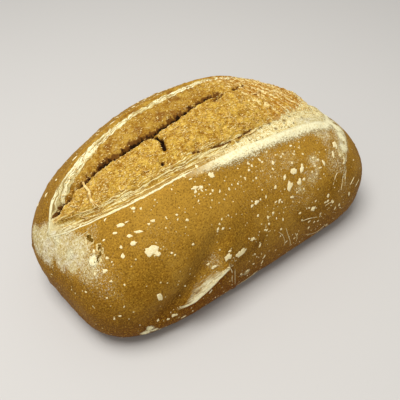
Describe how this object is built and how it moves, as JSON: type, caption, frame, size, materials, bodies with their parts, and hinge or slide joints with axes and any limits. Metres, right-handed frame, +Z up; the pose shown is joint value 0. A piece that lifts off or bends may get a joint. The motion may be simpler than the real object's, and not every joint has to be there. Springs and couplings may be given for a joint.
{
  "type": "sourdough bread loaf",
  "caption": "Long round-cornered sourdough loaf with one long torn score, a raised flap beside a deep crevice and a pinched fold low on one side, on a flat base.",
  "frame": {"origin": "centre of the bounding box's underside, on the flat base", "axes": "+X along the loaf towards its wider far end, +Z up, -Y towards the side with the pinched fold"},
  "size_m": [0.2622, 0.1722, 0.1096],
  "materials": {
    "crust": "matte",
    "crumb": "matte",
    "flour": "matte"
  },
  "bodies": {
    "root": {"loaf": "crust"}
  },
  "joints": []
}
